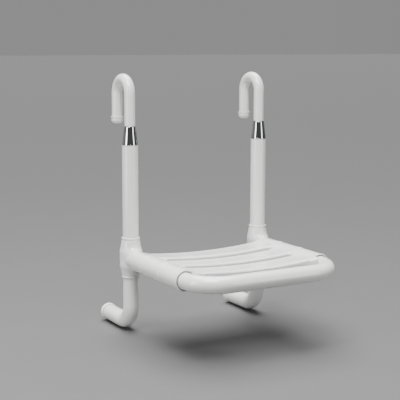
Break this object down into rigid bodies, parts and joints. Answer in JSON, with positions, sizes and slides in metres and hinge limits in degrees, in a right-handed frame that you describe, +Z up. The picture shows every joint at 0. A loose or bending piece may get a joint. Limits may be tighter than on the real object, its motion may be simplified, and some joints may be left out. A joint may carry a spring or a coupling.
{
  "type": "hang-on shower seat",
  "caption": "White shower seat with slats in a bowed tube frame, hung from a wall rail by two adjustable hooks and resting on the wall with soft buffers.",
  "frame": {"origin": "on the grab rail's axis, midway between the two hooks", "axes": "+Z up, +X to the right of someone who faces the wall, +Y towards the wall; the seat reaches out towards -Y"},
  "size_m": [0.356, 0.4305, 0.5345],
  "materials": {
    "white_nylon": "glossy white moulded and extruded nylon",
    "seat_nylon": "glossy white moulded nylon, fine even surface",
    "inner_nylon": "natural white nylon, as moulded",
    "chrome": "polished chrome plate",
    "hook_steel": "ground stainless tube",
    "steel_tube": "drawn steel tube, mill finish",
    "fasteners": "stainless fasteners, turned",
    "buffer": "pale grey-white soft rubber"
  },
  "bodies": {
    "seat": {"left_guide_bush": "inner_nylon", "left_clamp_collet": "inner_nylon", "left_hanger_core": "steel_tube", "left_hanger_sleeve": "white_nylon", "left_hub": "white_nylon", "left_hub_bolt": "fasteners", "left_hub_plug": "white_nylon", "left_arm_spigot": "steel_tube", "left_leg_sleeve": "white_nylon", "left_buffer_insert": "inner_nylon", "left_wall_buffer": "buffer", "left_buffer_screw": "fasteners", "right_guide_bush": "inner_nylon", "right_clamp_collet": "inner_nylon", "right_hanger_core": "steel_tube", "right_hanger_sleeve": "white_nylon", "right_hub": "white_nylon", "right_hub_bolt": "fasteners", "right_hub_plug": "white_nylon", "right_arm_spigot": "steel_tube", "right_leg_sleeve": "white_nylon", "right_buffer_insert": "inner_nylon", "right_wall_buffer": "buffer", "right_buffer_screw": "fasteners", "bow_core": "steel_tube", "bow_sleeve": "white_nylon", "rear_slat": "seat_nylon", "middle_slat": "seat_nylon", "front_slat": "seat_nylon", "slat_screws": "fasteners", "hub_set_screws": "fasteners", "slat_dowels": "fasteners"},
    "left_hook": {"left_hook_core": "hook_steel", "left_hook_sleeve": "white_nylon", "left_hook_end_cap": "white_nylon", "left_hook_stop_ring": "steel_tube"},
    "left_nut": {"left_cone_nut": "chrome"},
    "right_hook": {"right_hook_core": "hook_steel", "right_hook_sleeve": "white_nylon", "right_hook_end_cap": "white_nylon", "right_hook_stop_ring": "steel_tube"},
    "right_nut": {"right_cone_nut": "chrome"}
  },
  "joints": [
    {"name": "left_hook_slide", "type": "slide", "parent": "seat", "child": "left_hook", "axis": [0, 0, 1], "range_m": [0, 0.06]},
    {"name": "left_nut_turn", "type": "hinge", "parent": "seat", "child": "left_nut", "pos_m": [-0.155, -0.03, -0.086], "axis": [0, 0, 1], "range_deg": [0, 360]},
    {"name": "right_hook_slide", "type": "slide", "parent": "seat", "child": "right_hook", "axis": [0, 0, 1], "range_m": [0, 0.06]},
    {"name": "right_nut_turn", "type": "hinge", "parent": "seat", "child": "right_nut", "pos_m": [0.155, -0.03, -0.086], "axis": [0, 0, 1], "range_deg": [0, 360]}
  ]
}
